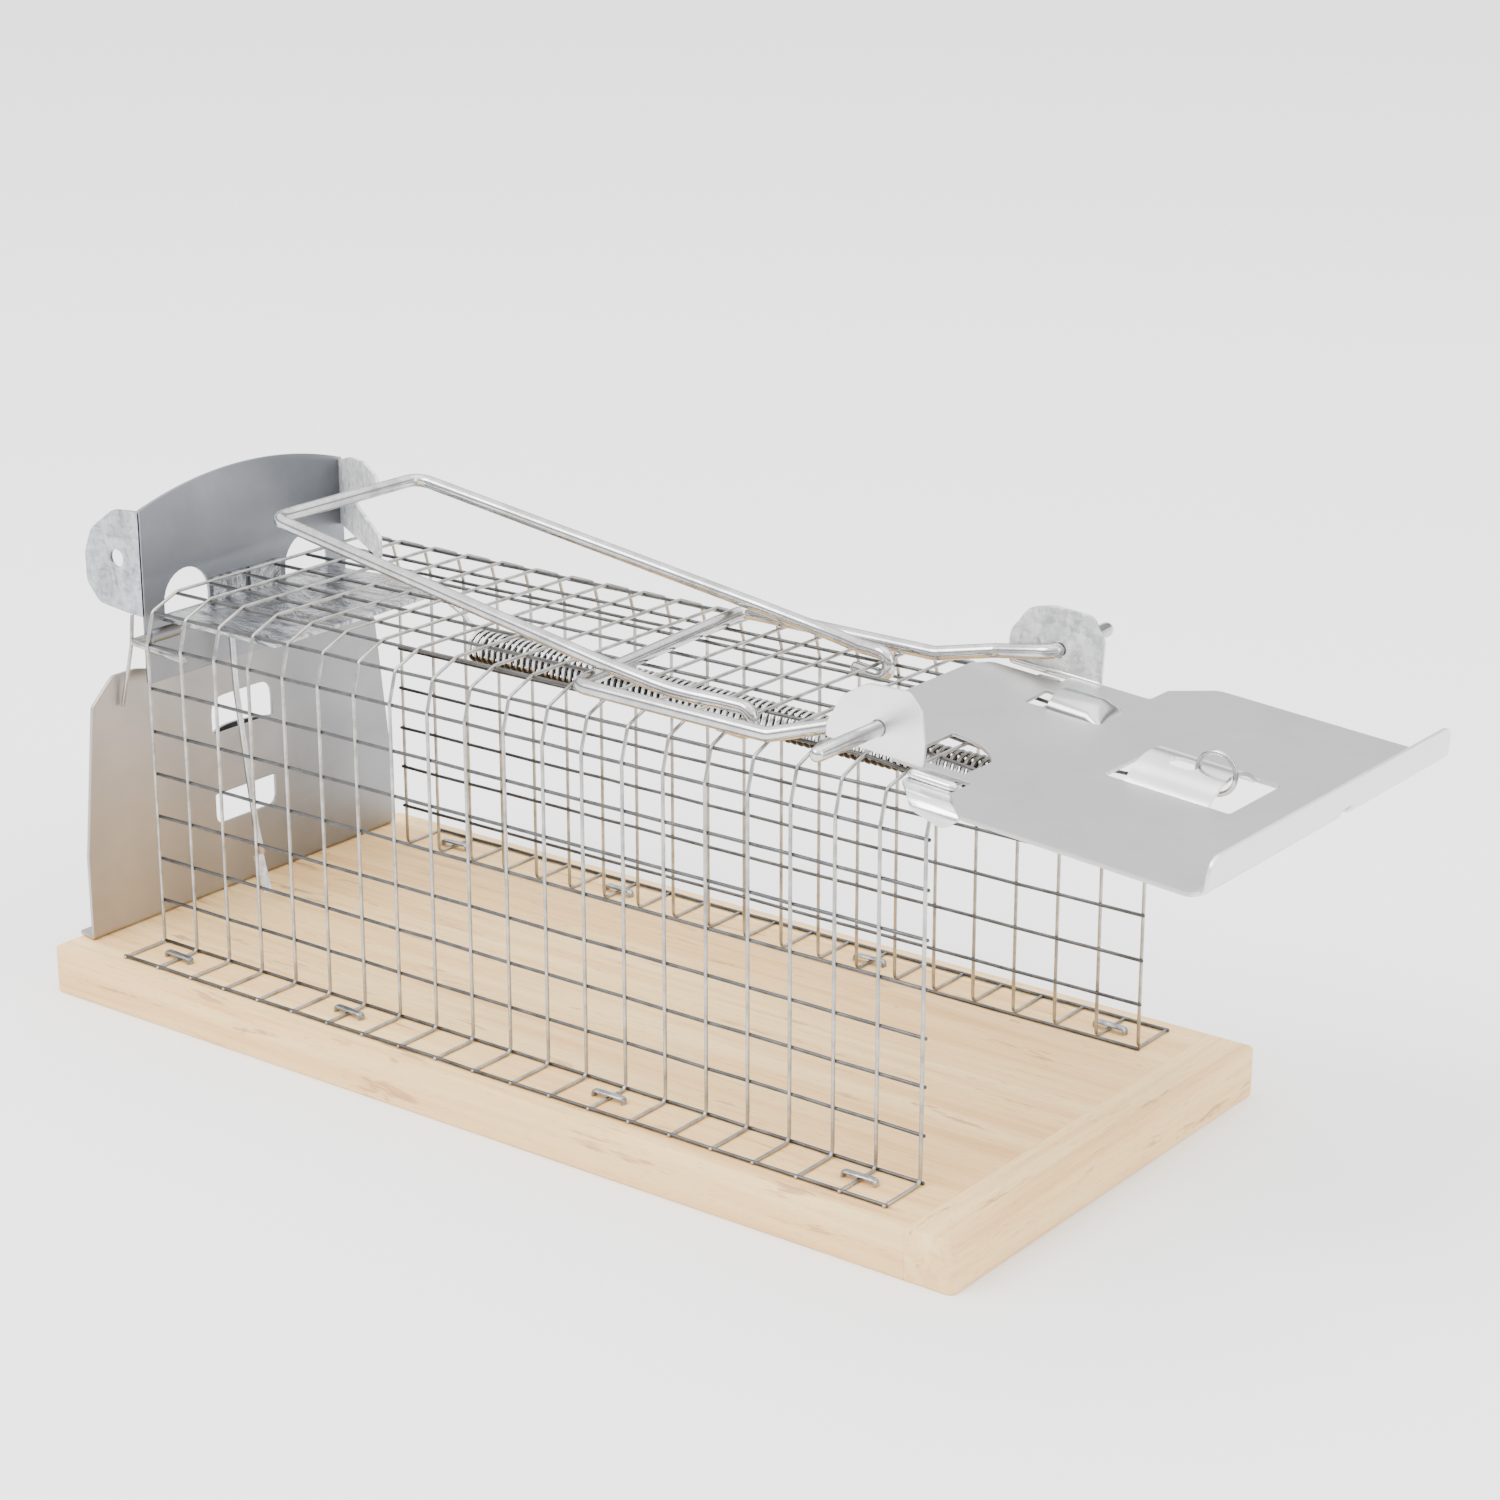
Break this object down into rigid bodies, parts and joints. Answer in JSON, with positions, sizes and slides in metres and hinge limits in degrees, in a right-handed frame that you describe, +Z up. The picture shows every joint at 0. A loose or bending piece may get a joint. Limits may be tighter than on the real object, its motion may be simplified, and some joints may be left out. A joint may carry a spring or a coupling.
{
  "type": "live catch trap",
  "caption": "Wire mesh tunnel trap on a wooden board, with a spring-driven sheet metal door held open by wire bails and a rear trigger plate.",
  "frame": {"origin": "centre of the board's underside", "axes": "+X along the tunnel towards the door, +Z up from the board"},
  "size_m": [0.365, 0.14, 0.1394],
  "materials": {
    "wood": "bare sanded plywood",
    "mesh_wire": "galvanised welded mesh",
    "staple": "plain steel",
    "zinc_sheet": "galvanised sheet",
    "door_sheet": "matt galvanised sheet",
    "bail_wire": "bright drawn wire",
    "spring_wire": "spring steel"
  },
  "bodies": {
    "cage": {"base_board": "wood", "mesh_near_side": "mesh_wire", "mesh_far_side": "mesh_wire", "mesh_roof": "mesh_wire", "mesh_roof_front": "mesh_wire", "mesh_near_shoulder": "mesh_wire", "mesh_far_shoulder": "mesh_wire", "mesh_near_flange": "mesh_wire", "mesh_far_flange": "mesh_wire", "flange_staples": "staple", "back_plate": "zinc_sheet", "plate_screws": "staple", "trigger_pivot_wire": "bail_wire", "tie_wire": "mesh_wire"},
    "trigger": {"trigger_plate": "zinc_sheet", "rear_ear": "zinc_sheet", "hook_ear": "zinc_sheet", "trigger_leaf": "zinc_sheet", "bait_rod": "bail_wire", "bait_clip": "zinc_sheet"},
    "lever": {"lever_bail": "bail_wire"},
    "door": {"door_plate": "door_sheet", "door_ears": "zinc_sheet", "door_knuckles": "door_sheet", "door_bridge": "zinc_sheet", "spring_ring": "spring_wire"},
    "link": {"link_bail": "bail_wire"},
    "spring": {"door_spring": "spring_wire"}
  },
  "joints": [
    {"name": "door_hinge", "type": "hinge", "parent": "cage", "child": "door", "pos_m": [0.127, 0, 0.10955], "axis": [0, 1, 0], "range_deg": [0, 85.3], "deforming": ["door_spring"]},
    {"name": "lever_pivot", "type": "hinge", "parent": "cage", "child": "lever", "pos_m": [0.0635, 0, 0.11235], "axis": [0, 1, 0], "range_deg": [0, 80]},
    {"name": "link_pivot", "type": "hinge", "parent": "door", "child": "link", "pos_m": [0.1064, 0, 0.11975], "axis": [0, 1, 0], "range_deg": [-92.5, 0]},
    {"name": "spring_swing", "type": "hinge", "parent": "cage", "child": "spring", "pos_m": [-0.0635, 0, 0.11235], "axis": [0, 1, 0], "range_deg": [0, 13.2], "deforming": ["door_spring"]},
    {"name": "trigger_tilt", "type": "hinge", "parent": "cage", "child": "trigger", "pos_m": [-0.139, 0, 0.0973], "axis": [0, 1, 0], "range_deg": [-6, 0]}
  ],
  "couplings": [
    {"joint": "lever_pivot", "follows": "door_hinge", "ratio": 0.92},
    {"joint": "link_pivot", "follows": "door_hinge", "ratio": -1.08},
    {"joint": "spring_swing", "follows": "door_hinge", "ratio": 0.1535}
  ]
}
